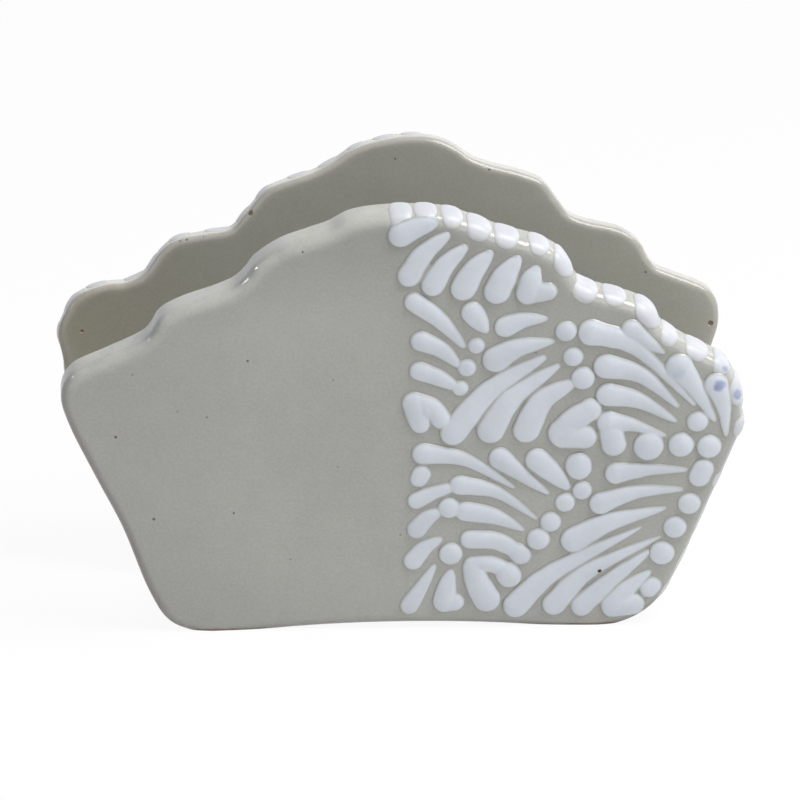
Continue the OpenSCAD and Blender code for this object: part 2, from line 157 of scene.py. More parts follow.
def outline(side):
    """The cut edge over the sides and the crest, from the left foot to the right one."""
    points = [on_face(s) for s in left_side_shares + CRESTS[side] + right_side_shares]
    count = (len(points) - 1) * OUTLINE_STEPS
    return [curve_point(points, k / OUTLINE_STEPS) for k in range(count + 1)]


def foot_line(start, end):
    """The shallow arch under the panel, from the right foot back to the left one."""
    line = []
    for k in range(1, FOOT_STEPS):
        x = start.x + (end.x - start.x) * k / FOOT_STEPS
        y = ARCH_RISE * (1 - (2 * x / ARCH_SPAN) ** 2)
        line.append(Vector((x, max(y, start.y), 0.0)))
    return line


print("points round a panel:", len(outline("front")) + FOOT_STEPS - 1)

# %% [markdown]
# ## Standing a piece up
#
# A panel is drawn flat with its outer face up, as it lay on the potter's board. One turn
# about X stands it up and leans it out, and a half turn about Z takes the rear panel to
# the back. If the object were turned, the pattern in its material would turn too. So the
# place goes into the mesh, and each object stays at the origin.

# %% From the board to the table
TO_METRES = Matrix.Scale(MM, 4)
STAND = Matrix.Translation((0, -FOOT_HALF, 0)) @ Matrix.Rotation(math.pi / 2 + LEAN, 4, "X")
REAR = Matrix.Rotation(math.pi, 4, "Z")
TURNS = {"front": STAND, "rear": REAR @ STAND}


def in_place(side, share, depth=0.0):
    """Where a share of a panel's outer face is on the finished holder, in metres."""
    flat = on_face(share) - Vector((0, 0, depth))
    return TO_METRES @ TURNS[side] @ flat


print("top of the rear panel:", [round(v, 4) for v in in_place("rear", (0, 1))])

# %% From a mesh to a piece of the frame
def in_scene(name, data):
    """A new object in the scene that holds a mesh, a lamp or a camera."""
    made = bpy.data.objects.new(name, data)
    bpy.context.scene.collection.objects.link(made)
    return made


def settle(mesh, node, material):
    """Makes the finished mesh an object that stands for its piece of the frame."""
    piece = in_scene(node + "_fired", mesh)
    mesh.materials.append(material)
    mesh.shade_smooth()
    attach(piece, "root")
    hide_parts(node)


def mesh_of(bm, name):
    """The bmesh as a mesh, in the millimetres or metres that it was in."""
    mesh = bpy.data.meshes.new(name)
    bm.to_mesh(mesh)
    bm.free()
    return mesh


print("pieces of the frame to make:", len(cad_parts))

# %% [markdown]
# ## Shader maths that reads as maths
#
# A material is a graph, and its sums would hide in a long list of nodes. The class below
# wraps one outlet of a node. Its operators add Math nodes, so `1 - mask * 0.3` is written
# as it is thought. Every other node comes from its one method `node`, which sets the
# settings first and then the sockets. A number stands for a socket or an outlet where
# names would not do: Mix, for one, has its two colours at 6 and 7.

# %% A wire that can be reckoned with
SPOT_CORE = 0.55


class Wire:
    """One outlet of a node in a material, with arithmetic on it."""

    def __init__(self, tree, socket=None):
        self.tree, self.socket = tree, socket

    def node(self, kind, settings=None, sockets=None, outlet=0):
        """Makes a node of a kind and gives one of its outlets."""
        made = self.tree.nodes.new(kind)
        for name, value in (settings or {}).items():
            setattr(made, name, value)
        for name, value in (sockets or {}).items():
            if isinstance(value, Wire):
                self.tree.links.new(value.socket, made.inputs[name])
            else:
                made.inputs[name].default_value = value
        return Wire(self.tree, made.outputs[outlet])

    def maths(self, operation, a, b=0.0):
        return self.node("ShaderNodeMath", {"operation": operation}, {0: a, 1: b})

    def __add__(self, other):
        return self.maths("ADD", self, other)

    __radd__ = __add__

    def __sub__(self, other):
        return self.maths("SUBTRACT", self, other)

    def __rsub__(self, other):
        return self.maths("SUBTRACT", other, self)

    def __mul__(self, other):
        return self.maths("MULTIPLY", self, other)

    __rmul__ = __mul__

    def step(self, low, high):
        """0 below low, 1 above high and a smooth climb between them."""
        return self.node("ShaderNodeMapRange", {"interpolation_type": "SMOOTHSTEP"},
                         {"Value": self, "From Min": low, "From Max": high})

    def place(self):
        """The place on the object, in metres, which is outlet 3 of Texture Coordinate."""
        return self.node("ShaderNodeTexCoord", outlet=3)

    def stored(self, name):
        """A number that was stored on the vertices of the mesh."""
        return self.node("ShaderNodeAttribute", {"attribute_name": name}, outlet=2)

    def noise(self, scale, detail=2.0, roughness=0.5):
        return self.node("ShaderNodeTexNoise", {},
                         {"Vector": self, "Scale": scale, "Detail": detail,
                          "Roughness": roughness})

    def swing(self, width):
        """A noise turned to a swing of that width about nought."""
        return (self - 0.5) * width

    def near(self, place, radius):
        """1 at a place and 0 past a radius from it, both in metres."""
        gap = self.node("ShaderNodeVectorMath", {"operation": "DISTANCE"},
                        {0: self, 1: place}, 1)
        return 1 - gap.step(radius * SPOT_CORE, radius)

    def colour(self, low, high):
        """Blends two colours, with this value as the share of the second."""
        return self.node("ShaderNodeMix", {"data_type": "RGBA"}, {0: self, 6: low, 7: high}, 2)

    def shaded(self, share):
        """This colour, darker where the share is under 1 and lighter where it is over."""
        return self.node("ShaderNodeVectorMath", {"operation": "SCALE"},
                         {0: self, "Scale": share})


print("operators of a wire: + - *")

# %% Colours and an empty material
CLEAR_GLAZE_IOR = 1.5


def srgb(red, green, blue):
    """A colour as a picture gives it, in 0 to 255, turned to the light it stands for."""
    shares = (value / 255 for value in (red, green, blue))
    return (*(s / 12.92 if s <= 0.04045 else ((s + 0.055) / 1.055) ** 2.4 for s in shares), 1.0)


def new_material(name):
    """An empty material and its tree as a wire."""
    material = bpy.data.materials.new(name)
    material.use_nodes = True
    material.node_tree.nodes.clear()
    return material, Wire(material.node_tree)


def show(tree, surface, kind="ShaderNodeOutputMaterial"):
    """Leads a surface to the output of its tree."""
    end = tree.tree.nodes.new(kind)
    tree.tree.links.new(surface.socket, end.inputs["Surface"])


def fired(tree, colour, gloss, relief):
    """Shows a glossy fired surface, with its relief in metres."""
    bump = tree.node("ShaderNodeBump", {}, {"Height": relief, "Distance": 1.0, "Strength": 1.0})
    show(tree, tree.node("ShaderNodeBsdfPrincipled", {},
                         {"Base Color": colour, "Roughness": gloss, "IOR": CLEAR_GLAZE_IOR,
                          "Normal": bump}))


def strongest(masks):
    """The highest of several masks at each point."""
    top = masks[0]
    for mask in masks[1:]:
        top = top.maths("MAXIMUM", top, mask)
    return top


print("a picture's middle grey as light:", round(srgb(128, 128, 128)[0], 3))

# %% [markdown]
# ## The grey glaze
#
# The glaze is a pale grey-green that clouds a little, with fine specks where iron in the
# clay came through. It ran thin over the rounded edge of the crest, where it is paler, and
# the rims that face up get painted light on top of that, the rear rim most. The slopes of
# the crest that face left get a painted shade, dark and bluish. Down the sides the rounded
# edge gets a painted shade too, except on the right of the front panel, where wet slip was
# smeared over it. The outer face gets painted shade near its top and a painted pool of
# light in its middle. On the inner faces the glaze lies thicker and more olive. A few
# pinholes, where a bubble burst in the kiln, stand at chosen places. The foot was wiped
# clean and shows bare clay.
#
# A painted image could hold all of this, but it would be wrong as soon as the outline
# moved. So three values are stored on the mesh and the material reads them: `inward`
# runs from the outer face to the inner one, `thin` is 1 on the rim, and `leftward` grows
# where the surface turns to the left. Heights over the table and noises do the rest. A
# pinhole row holds a place and a radius in millimetres.

# %% Pinholes in the glaze
front_pinhole_shares = [
    (-0.731, 0.279, 0.42), (-0.841, 0.481, 0.42), (-0.495, 0.291, 0.32),
    (-0.327, 0.175, 0.22), (-0.573, 0.526, 0.26), (-0.188, 0.4, 0.2),
    (-0.453, 0.661, 0.34), (-0.292, 0.92, 0.3),
]
rear_pinhole_shares = [
    (0.42, 0.83, 0.95), (-0.974, 0.558, 0.75), (0.931, 0.561, 0.5),
    (-0.019, 0.95, 0.32), (-0.303, 0.922, 0.34), (-0.776, 0.679, 0.34),
    (0.635, 0.769, 0.8), (0.614, 0.772, 0.75), (0.562, 0.777, 0.55),
]
pinholes = [(in_place("front", s), s[2] * MM) for s in front_pinhole_shares]
pinholes += [(in_place("rear", s, SLAB), s[2] * MM) for s in rear_pinhole_shares]
print(len(pinholes), "pinholes, the first at", [round(v, 4) for v in pinholes[0][0]])

# %% Colours of the glaze
OUTER_GREY = srgb(157, 157, 152)
# painted light: a paler grey for the middle of the outer face
PAINTED_LIGHT_GREY = srgb(166, 166, 161)
# painted shade: a darker grey near the top of the outer face
TOP_SHADE_GREY = srgb(136, 136, 131)
INNER_OLIVE = srgb(147, 147, 138)
WARM_CORNER = srgb(136, 130, 115)
# paler thin glaze on the rims, with painted light for rims that face up, most on the rear
THIN_AND_LIT_EDGE = srgb(182, 182, 177)
REAR_THIN_AND_LIT_EDGE = srgb(214, 213, 208)
THIN_INNER = srgb(168, 165, 157)
# painted shade down the rounded side edges
SIDE_SHADE = srgb(122, 116, 114)
SIDE_SLIP = srgb(182, 187, 198)
# painted shade, dark and bluish, on crest slopes that face left
STEEP_SHADE_BLUE = srgb(142, 146, 148)
BARE_CLAY = srgb(128, 104, 88)
PINHOLE_BROWN = srgb(92, 46, 36)

print("outer grey as light:", [round(v, 3) for v in OUTER_GREY[:3]])

# %% [markdown]
# Each pair below says where a colour starts and where it is full: in metres for a place
# across, a depth or a height, and otherwise on a stored value.

# %% Where each colour starts and is full
INNER_FADE = (0.78, 0.98)
# where the painted light in the middle of the outer face lies, and how far it reaches
PAINTED_LIGHT_CENTRE, PAINTED_LIGHT_RADIUS = (-0.1, 0.42), 0.062

REAR_DEPTHS = (0.0, 0.02)
CORNER_PLACES = (-0.02, -0.075)
SMEAR_PLACES = (0.0, 0.03)
SMEAR_HEIGHTS = (0.005, 0.009)
CREST_HEIGHTS = (0.05, 0.07)
# heights where the painted shade near the top of the outer face fades in
TOP_SHADE_HEIGHTS = (0.075, 0.1)

# the pale thin glaze and painted light of the rims fade in over these values
OUTER_THIN_AND_LIT = (0.3, 0.85)
INNER_THIN_AND_LIT = (0.5, 0.92)
THIN_AND_LIT_PATCHES = (0.1, 0.6)
# how far a surface turns left before the painted shade on the slopes is full
STEEP_SHADE_TURN = (0.35, 0.75)
RIM_FADE = (0.6, 0.9)
SMEAR_FADE = (0.8, 0.95)
FACE_FADE = (0.2, 0.6)
PEBBLE_FADE = (0.25, 0.6)
BEHIND_ROUNDING = (0.25, 0.5)

print(f"crest colours start {CREST_HEIGHTS[0] / MM:.0f} mm over the table")

# %% How strong each colour is
CORNER_STRENGTH, CORNER_RAGGED = 0.75, 0.02
# pale rims: thin glaze with painted light
THIN_AND_LIT_STRENGTH = 0.7
# painted shade on slopes that face left
STEEP_SHADE_STRENGTH = 0.6
# painted shade down the side edges
SIDE_SHADE_STRENGTH = 0.85
SMEAR_STRENGTH = 0.9
# painted shade near the top of the face
TOP_SHADE_STRENGTH = 0.5
# painted light in the middle of the face
PAINTED_LIGHT_STRENGTH = 0.4
INNER_CALM = 0.8
RIM_DULLNESS = 0.12

print(f"a worn rim goes {THIN_AND_LIT_STRENGTH:.0%} of the way to its pale colour")

# %% The colours of a panel
def panel_tone(tree, place, across, depth, height, clouds, mottle):
    """A panel's colour with its painted light and shade, how pebbled its skin is, and how dull
    its rim is.
    """
    inner = tree.stored("inward").step(*INNER_FADE)
    thin = tree.stored("thin")
    crest = height.step(*CREST_HEIGHTS)
    behind = depth.step(*REAR_DEPTHS)
    outer = 1 - inner
    corner = (across + clouds * CORNER_RAGGED).step(*CORNER_PLACES) * CORNER_STRENGTH
    colour = inner.colour(OUTER_GREY, corner.colour(INNER_OLIVE, WARM_CORNER))

    # painted shade on the crest's slopes that face left
    steep_shade = tree.stored("leftward").step(*STEEP_SHADE_TURN) * crest
    # paler thin glaze on the crest's rims, with painted light on these rims that face up, most
    # on the rear
    thin_and_lit = thin.step(*OUTER_THIN_AND_LIT) * outer + thin.step(*INNER_THIN_AND_LIT) * inner
    thin_and_lit = thin_and_lit * mottle.step(*THIN_AND_LIT_PATCHES) * crest * (1 - steep_shade)
    edge = inner.colour(behind.colour(THIN_AND_LIT_EDGE, REAR_THIN_AND_LIT_EDGE), THIN_INNER)
    colour = (thin_and_lit * THIN_AND_LIT_STRENGTH).colour(colour, edge)
    colour = (steep_shade * outer * STEEP_SHADE_STRENGTH).colour(colour, STEEP_SHADE_BLUE)

    side = (1 - crest) * outer
    smeared = across.step(*SMEAR_PLACES) * height.step(*SMEAR_HEIGHTS) * (1 - behind)
    # painted shade down the rounded side edges
    side_shade = thin.step(*RIM_FADE) * side * (1 - smeared) * SIDE_SHADE_STRENGTH
    colour = side_shade.colour(colour, SIDE_SHADE)
    pale_side = thin.step(*SMEAR_FADE) * side * smeared * SMEAR_STRENGTH
    colour = pale_side.colour(colour, SIDE_SLIP)

    # painted shade near the top of the outer face
    high = height.step(*TOP_SHADE_HEIGHTS) * (1 - thin.step(*FACE_FADE)) * outer
    colour = (high * TOP_SHADE_STRENGTH).colour(colour, TOP_SHADE_GREY)
    # painted light in the middle of the outer face
    middle = place.near(in_place("front", PAINTED_LIGHT_CENTRE), PAINTED_LIGHT_RADIUS)
    colour = (middle * PAINTED_LIGHT_STRENGTH).colour(colour, PAINTED_LIGHT_GREY)

    pebbled = thin.step(*PEBBLE_FADE) * (1 - inner * INNER_CALM)
    dull = thin.step(*RIM_FADE) * tree.stored("inward").step(*BEHIND_ROUNDING) * RIM_DULLNESS
    return colour, pebbled, dull


print("values read from a panel's mesh: inward, thin, leftward")

# %% [markdown]
# Specks, orange-peel and pebbles are so small that modelling them would take millions of
# faces. They are noises of a chosen number of cells in a metre, each with its relief in
# metres, so that the light breaks on them as on real glaze.

# %% Specks and relief
CLOUD_CELLS, MOTTLE_CELLS, GRAIN_CELLS, SPECK_CELLS = 24.0, 150.0, 1500.0, 190.0
SPECK_CHANCE = (0.86, 0.9)
SPECK_SIZE = (0.03, 0.075)
RIPPLE_CELLS, RIPPLE_RISE = 34.0, 0.00045
PEEL_CELLS, PEEL_RISE = 420.0, 0.000022
PEBBLE_CELLS, PEBBLE_RISE = 800.0, 0.00006
CLAY_RISE = 0.00006
PINHOLE_DEPTH = 0.0002
BARE_HEIGHTS = (0.0002, 0.0008)
BARE_RAGGED = 0.0012
CLOUD_SWING, MOTTLE_SWING, GRAIN_SWING = 0.2, 0.1, 0.22
SPECK_STRENGTH, PINHOLE_STRENGTH = 0.6, 0.8
PLAIN_CLOUDING = 0.2
GLAZE_ROUGHNESS, ROUGHNESS_SWING = 0.13, 0.1
PINHOLE_DULLNESS, CLAY_DULLNESS = 0.4, 0.55


def iron_specks(place):
    """1 on a few small specks, each inside a cell that was picked by its colour."""
    cells = {"Vector": place, "Scale": SPECK_CELLS}
    gap = place.node("ShaderNodeTexVoronoi", {}, cells)
    kind = place.node("ShaderNodeTexVoronoi", {}, cells, 1)
    picked = kind.node("ShaderNodeSeparateColor", {}, {0: kind}).step(*SPECK_CHANCE)
    return (1 - gap.step(*SPECK_SIZE)) * picked


print(f"a speck has a radius of at most {SPECK_SIZE[1] / SPECK_CELLS / MM:.1f} mm")

# %% The glaze
def glaze_material(name, on_panel=True):
    """The glaze, on a panel or on the plain clay inside the holder."""
    material, tree = new_material(name)
    place = tree.place()
    across, depth, height = (tree.node("ShaderNodeSeparateXYZ", sockets={0: place}, outlet=k)
                             for k in range(3))
    clouds = place.noise(CLOUD_CELLS, 3.0)
    mottle = place.noise(MOTTLE_CELLS, 4.0, 0.6)
    grain = place.noise(GRAIN_CELLS)
    if on_panel:
        colour, pebbled, dull = panel_tone(tree, place, across, depth, height, clouds, mottle)
    else:
        colour = (clouds * PLAIN_CLOUDING).colour(INNER_OLIVE, OUTER_GREY)
        pebbled, dull = 0.0, 0.0

    colour = colour.shaded(1 + clouds.swing(CLOUD_SWING) + mottle.swing(MOTTLE_SWING)
                           + grain.swing(GRAIN_SWING))
    colour = (iron_specks(place) * SPECK_STRENGTH).colour(colour, BARE_CLAY)
    pits = strongest([place.near(spot, radius) for spot, radius in pinholes])
    colour = (pits * PINHOLE_STRENGTH).colour(colour, PINHOLE_BROWN)
    bare = 1 - (mottle.swing(BARE_RAGGED) + height).step(*BARE_HEIGHTS)
    colour = bare.colour(colour, BARE_CLAY)

    relief = (place.noise(RIPPLE_CELLS).swing(RIPPLE_RISE)
              + place.noise(PEEL_CELLS, 3.0).swing(PEEL_RISE)
              + place.noise(PEBBLE_CELLS).swing(PEBBLE_RISE) * pebbled
              - pits * PINHOLE_DEPTH + bare * grain.swing(CLAY_RISE))
    gloss = (GLAZE_ROUGHNESS + dull + mottle.swing(ROUGHNESS_SWING)
             + pits * PINHOLE_DULLNESS + bare * CLAY_DULLNESS)
    fired(tree, colour, gloss, relief)
    return material


panel_glaze = glaze_material("grey_glaze")
inner_glaze = glaze_material("olive_glaze", on_panel=False)
print("nodes in the glaze:", len(panel_glaze.node_tree.nodes))

# %% [markdown]
# ## The white slip
#
# Fired slip under a clear gloss is a cool, faintly blue white. Where a stroke meets the
# panel the grey glaze pooled against it, so each stroke has a soft grey outline and the
# thin tails sink into the glaze. A mask drawn for each stroke would do, but it is simpler
# to store on the mesh how far a point lies inside its stroke. That is `cover`, in
# millimetres, and the colour climbs with it from grey to white. The dabs over the rim
# are a little darker and duller, so they also store `on_rim`, which is 1 on them. Four
# strokes near the right corner carry some blue from the potter's brush, and one bubble
# left a dark pit in a stroke at the foot. A stain row holds a place, a radius in
# millimetres and a strength.

# %% Colours of the slip
SLIP_WHITE = srgb(199, 204, 212)
SLIP_SHADE = srgb(190, 195, 203)
RIM_WHITE = srgb(192, 194, 200)
POOLED_GREY = srgb(160, 161, 154)
POOLED_RIM = srgb(184, 184, 178)
STAIN_BLUE = srgb(116, 130, 172)
SLIP_PIT_BROWN = srgb(50, 24, 19)

print("slip white as light:", [round(v, 3) for v in SLIP_WHITE[:3]])

# %% Blue stains and the pit
stain_shares = [
    (0.813, 0.623, 2.5, 0.22), (0.933, 0.587, 2.0, 0.75), (0.952, 0.625, 1.3, 0.55),
    (0.992, 0.563, 1.7, 0.7),
]
STAIN_CELLS, STAIN_DRIFT = 450.0, 0.0014
PATCH_CELLS, PATCH_LEAST = 600.0, 0.45
SLIP_PIT_SHARE = (0.591, 0.136)
SLIP_PIT_RISE = 0.8
SLIP_PIT_RADIUS = 0.7


def blue_stains(place):
    """1 in the middle of a full stain, with ragged borders and a patchy inside."""
    drift = place.node("ShaderNodeTexNoise", {}, {"Vector": place, "Scale": STAIN_CELLS}, 1)
    drift = drift.node("ShaderNodeVectorMath", {"operation": "SUBTRACT"},
                       {0: drift, 1: (0.5, 0.5, 0.5)})
    ragged = drift.node("ShaderNodeVectorMath", {"operation": "MULTIPLY_ADD"},
                        {0: drift, 1: (STAIN_DRIFT,) * 3, 2: place})
    stains = strongest([ragged.near(in_place("front", row), row[2] * MM) * row[3]
                        for row in stain_shares])
    return stains * (PATCH_LEAST + place.noise(PATCH_CELLS))


print(len(stain_shares), "stains, up to", max(row[2] for row in stain_shares), "mm in radius")

# %% The slip
POOL_START, POOL_WIDTH, POOL_RAGGED = -0.05, 0.75, 0.2
MILK_CELLS, MILK_FADE = 60.0, (0.35, 0.7)
STREAK_CELLS, STREAK_SWING = 300.0, 0.06
SLIP_GRAIN_SWING = 0.08
SLIP_ROUGHNESS, DAB_DULLNESS = 0.22, 0.2
WAVE_CELLS, WAVE_RISE = 190.0, 0.00008
FINE_RISE = 0.00001


def slip_material(name):
    """The trailed slip under its clear gloss."""
    material, tree = new_material(name)
    place = tree.place()
    on_rim = tree.stored("on_rim")
    streaks = place.noise(STREAK_CELLS, 3.0, 0.6)
    colour = place.noise(MILK_CELLS, 3.0).step(*MILK_FADE).colour(SLIP_WHITE, SLIP_SHADE)
    colour = on_rim.colour(colour, RIM_WHITE)
    colour = colour.shaded(1 + streaks.swing(STREAK_SWING)
                           + place.noise(GRAIN_CELLS).swing(SLIP_GRAIN_SWING))

    ragged = tree.stored("cover") + streaks.swing(POOL_RAGGED)
    pooled = on_rim.colour(POOLED_GREY, POOLED_RIM)
    colour = ragged.step(POOL_START, POOL_WIDTH).colour(pooled, colour)
    colour = blue_stains(place).colour(colour, STAIN_BLUE)
    pit = place.near(in_place("front", SLIP_PIT_SHARE, -SLIP_PIT_RISE), SLIP_PIT_RADIUS * MM)
    colour = pit.colour(colour, SLIP_PIT_BROWN)

    relief = place.noise(WAVE_CELLS).swing(WAVE_RISE) + streaks.swing(FINE_RISE)
    gloss = SLIP_ROUGHNESS + on_rim * DAB_DULLNESS + streaks.swing(ROUGHNESS_SWING)
    fired(tree, colour, gloss, relief)
    return material


white_slip = slip_material("white_slip")
print("nodes in the slip:", len(white_slip.node_tree.nodes))

# %% [markdown]
# ## The panels
#
# A subdivided cage could be bent to the outline, but the clay was cut and then sponged,
# and the same steps are simpler: one flat face from the outline is thickened to the slab
# and rounded with a bevel along both rims, more on the outer one. A narrow inset gives
# the glaze a line from which it fades, and the flat faces are cut in cells, because a
# stored value only changes from one vertex to the next. The foot is then cut level with
# the table, because a leaning slab would stand on one edge.

# %% Slab and sponged edges
BEVEL_SEGMENTS = 8
RING_WIDTH = 0.6
LEVEL_GAP = 0.01


def rounded(bm, edges, rounding, segments):
    """Rounds edges as a damp sponge does, by so many millimetres."""
    bmesh.ops.bevel(bm, geom=edges, offset=rounding, offset_type="OFFSET", segments=segments,
                    profile=0.5, affect="EDGES", clamp_overlap=False, material=-1)


def sponged_slab(line):
    """The slab lying on the board, its outer face up at nought, with its faces marked."""
    bm = bmesh.new()
    bm.faces.layers.int.new("cap")
    for name in ("inward", "thin", "leftward"):
        bm.verts.layers.float.new(name)
    flat = bm.faces.new([bm.verts.new(p) for p in line + foot_line(line[-1], line[0])])
    flat.normal_update()
    bmesh.ops.solidify(bm, geom=[flat], thickness=SLAB)
    bmesh.ops.recalc_face_normals(bm, faces=bm.faces)
    top = max(v.co.z for v in bm.verts)
    bmesh.ops.translate(bm, verts=bm.verts, vec=(0, 0, -top))
    cut_edge = kdtree.KDTree(len(bm.verts))
    for i, vert in enumerate(bm.verts):
        cut_edge.insert((vert.co.x, vert.co.y, 0), i)
    cut_edge.balance()

    for level, rounding in ((0.0, EDGE_ROUND), (-SLAB, INNER_ROUND)):
        rim = [e for e in bm.edges if all(abs(v.co.z - level) < LEVEL_GAP for v in e.verts)]
        rounded(bm, rim, rounding, BEVEL_SEGMENTS)
    caps = sorted(bm.faces, key=lambda f: f.calc_area())[-2:]
    bmesh.ops.inset_region(bm, faces=caps, thickness=RING_WIDTH, depth=0,
                           use_even_offset=True, use_boundary=True)
    cap = bm.faces.layers.int["cap"]
    for face in caps:
        face[cap] = 1
    return bm, cut_edge


print(f"roundings {EDGE_ROUND} mm outside and {INNER_ROUND} mm inside")

# %% Cells on the two flat faces
CELL = 4.0
CELLS_ACROSS = (-HALF_WIDTH, HALF_WIDTH)
CELLS_UP = (0.0, 1.02 * PANEL_HEIGHT)


def cut_in_cells(bm):
    """Cuts the two flat faces into cells, so that the values on them can vary."""
    cap = bm.faces.layers.int["cap"]
    for along, (first, last) in ((Vector((1, 0, 0)), CELLS_ACROSS),
                                 (Vector((0, 1, 0)), CELLS_UP)):
        for k in range(round((last - first) / CELL) + 1):
            faces = [f for f in bm.faces if f[cap]]
            edges = {e for f in faces for e in f.edges}
            verts = {v for f in faces for v in f.verts}
            bmesh.ops.bisect_plane(bm, geom=faces + list(edges) + list(verts),
                                   plane_co=along * (first + k * CELL), plane_no=along)


print("cells across a panel:", round((CELLS_ACROSS[1] - CELLS_ACROSS[0]) / CELL))

# %% Values for the glaze, and the level foot
FADE_WIDTH = 5.5


def panel_mesh(side):
    """A standing panel in metres, with what its glaze needs stored on it."""
    bm, cut_edge = sponged_slab(outline(side))
    cut_in_cells(bm)
    inward, thin, leftward = (bm.verts.layers.float[name]
                              for name in ("inward", "thin", "leftward"))
    for vert in bm.verts:
        gap = cut_edge.find((vert.co.x, vert.co.y, 0))[2]
        vert[inward] = -vert.co.z / SLAB
        vert[thin] = max(0.0, 1 - gap / FADE_WIDTH)
    bm.transform(TURNS[side])
    bm.normal_update()
    for vert in bm.verts:
        vert[leftward] = max(0.0, -vert.normal.x)

    everything = bm.verts[:] + bm.edges[:] + bm.faces[:]
    cut = bmesh.ops.bisect_plane(bm, geom=everything, plane_co=(0, 0, 0), plane_no=(0, 0, 1),
                                 clear_inner=True)
    foot = [e for e in cut["geom_cut"] if isinstance(e, bmesh.types.BMEdge)]
    bmesh.ops.edgeloop_fill(bm, edges=foot)
    gaps = sum(1 for e in bm.edges if len(e.link_faces) != 2)
    print(side, "panel:", len(bm.faces), "faces,", gaps, "open edges")
    bm.transform(TO_METRES)
    return mesh_of(bm, side + "_panel")


for side in CRESTS:
    settle(panel_mesh(side), side + "_panel", panel_glaze)

# %% [markdown]
# ## The base and its seams
#
# The base is a third slab, trimmed to the slope of the panels on both sides. Into each
# inside corner the potter pressed a coil of soft clay and smoothed it hollow with a
# finger, which is why the corners look poured and not folded. A bevel between joined
# slabs would look alike, but slabs and coils are pieces of their own. Both are a profile
# extruded along X.

# %% A profile drawn out along X
def inside_half(height):
    """Half the gap between the panels' inner faces at a height over the table."""
    return FOOT_HALF - SLAB / math.cos(LEAN) + height * math.tan(LEAN)


def extruded(profile, half_length):
    """A solid from a profile of (y, z) points, centred along X."""
    bm = bmesh.new()
    end = bm.faces.new([bm.verts.new((-half_length, y, z)) for y, z in profile])
    grown = bmesh.ops.extrude_face_region(bm, geom=[end], use_keep_orig=True)
    moved = [v for v in grown["geom"] if isinstance(v, bmesh.types.BMVert)]
    bmesh.ops.translate(bm, verts=moved, vec=(2 * half_length, 0, 0))
    bmesh.ops.recalc_face_normals(bm, faces=bm.faces)
    return bm


print(f"gap between the panels at the table: {2 * inside_half(0):.1f} mm")

# %% The base slab
BASE_LEVEL_SHARE = 0.748
BASE_SETBACK = 6.0
BASE_THICK = 8.0
BASE_LIFT = 2.2
BASE_TOP = BASE_LIFT + BASE_THICK
BASE_HALF = BASE_LEVEL_SHARE * HALF_WIDTH - BASE_SETBACK
BASE_ROUND = 1.2
BASE_ROUND_SEGMENTS = 5
NEARBY = 1.0


def level_at_an_end(edge):
    """Whether an edge is the upper or the lower one at an end of the base."""
    a, b = (vert.co for vert in edge.verts)
    level = abs(a.z - b.z) < NEARBY and abs(a.x - b.x) < NEARBY
    return level and abs(a.x) > BASE_HALF - NEARBY


low, high = inside_half(BASE_LIFT), inside_half(BASE_TOP)
bm = extruded([(-low, BASE_LIFT), (low, BASE_LIFT), (high, BASE_TOP), (-high, BASE_TOP)],
              BASE_HALF)
ends = [e for e in bm.edges if level_at_an_end(e)]
rounded(bm, ends, BASE_ROUND, BASE_ROUND_SEGMENTS)
bm.transform(TO_METRES)
settle(mesh_of(bm, "base_slab"), "base_slab", inner_glaze)
print(f"base from {BASE_LIFT:.1f} to {BASE_TOP:.1f} mm, {2 * BASE_HALF:.1f} mm long")

# %% The seam coils
SEAM_ROUND = 6.0
SEAM_STEPS = 16
SEAM_OPENING = math.pi / 2 + LEAN

corner = Vector((-inside_half(BASE_TOP), BASE_TOP))
hub = corner + Vector((SEAM_ROUND / math.tan(SEAM_OPENING / 2), SEAM_ROUND))
turns = [3 * math.pi / 2 - (math.pi - SEAM_OPENING) * k / SEAM_STEPS
         for k in range(SEAM_STEPS + 1)]
hollow = [(hub.x + SEAM_ROUND * math.cos(a), hub.y + SEAM_ROUND * math.sin(a)) for a in turns]
for side in CRESTS:
    bm = extruded([tuple(corner)] + hollow, BASE_HALF)
    if side == "rear":
        bm.transform(REAR)
    bm.transform(TO_METRES)
    settle(mesh_of(bm, side + "_seam_coil"), side + "_seam_coil", inner_glaze)
print("points in the hollow of a coil:", len(hollow))

# %% [markdown]
# ## Trailed petals and dots
#
# A petal starts as a fat drop under the nozzle and thins as the hand speeds up. A curve
# with a round bevel would give a worm of an even height. Here each petal is a ball drawn
# out along its curve: its first rings become the round head, its middle follows the
# spine, and its last rings close the tail. The height follows the width, as in wet slip.

# %% The way along a petal
PETAL_WIDTH = 7.2
TAPER = 1.8
SWELL = 0.1
WOBBLE = 0.05
WOBBLE_CELLS = 0.35
LOOK_AHEAD = 0.05


def along_petal(row, t):
    """Place, way and half width of a petal at a share of its length."""
    spine = [on_face(share) for share in row[0]]
    spans = len(spine) - 1
    here = curve_point(spine, spans * t)
    run = (curve_point(spine, spans * min(1, t + LOOK_AHEAD))
           - curve_point(spine, spans * max(0, t - LOOK_AHEAD))).normalized()
    head = row[1] * PETAL_WIDTH / 2
    taper = row[3] if len(row) > 3 else TAPER
    half = head * (1 + (row[2] - 1) * t ** taper) + SWELL
    return here, run, half * (1 + WOBBLE * noise.noise(here * WOBBLE_CELLS))


print("widest petal:", PETAL_WIDTH, "mm")

# %% A petal and a dot from a ball
HEAD_PART = 0.28
TAIL_PART = 0.12
DOT_WIDTH = 7.4
WIDTH_PER_RISE = 5.4
SINK = 0.35
CROWN = 1.2
PETAL_AROUND, PETAL_ALONG = 24, 36
DOT_AROUND, DOT_UP = 28, 20


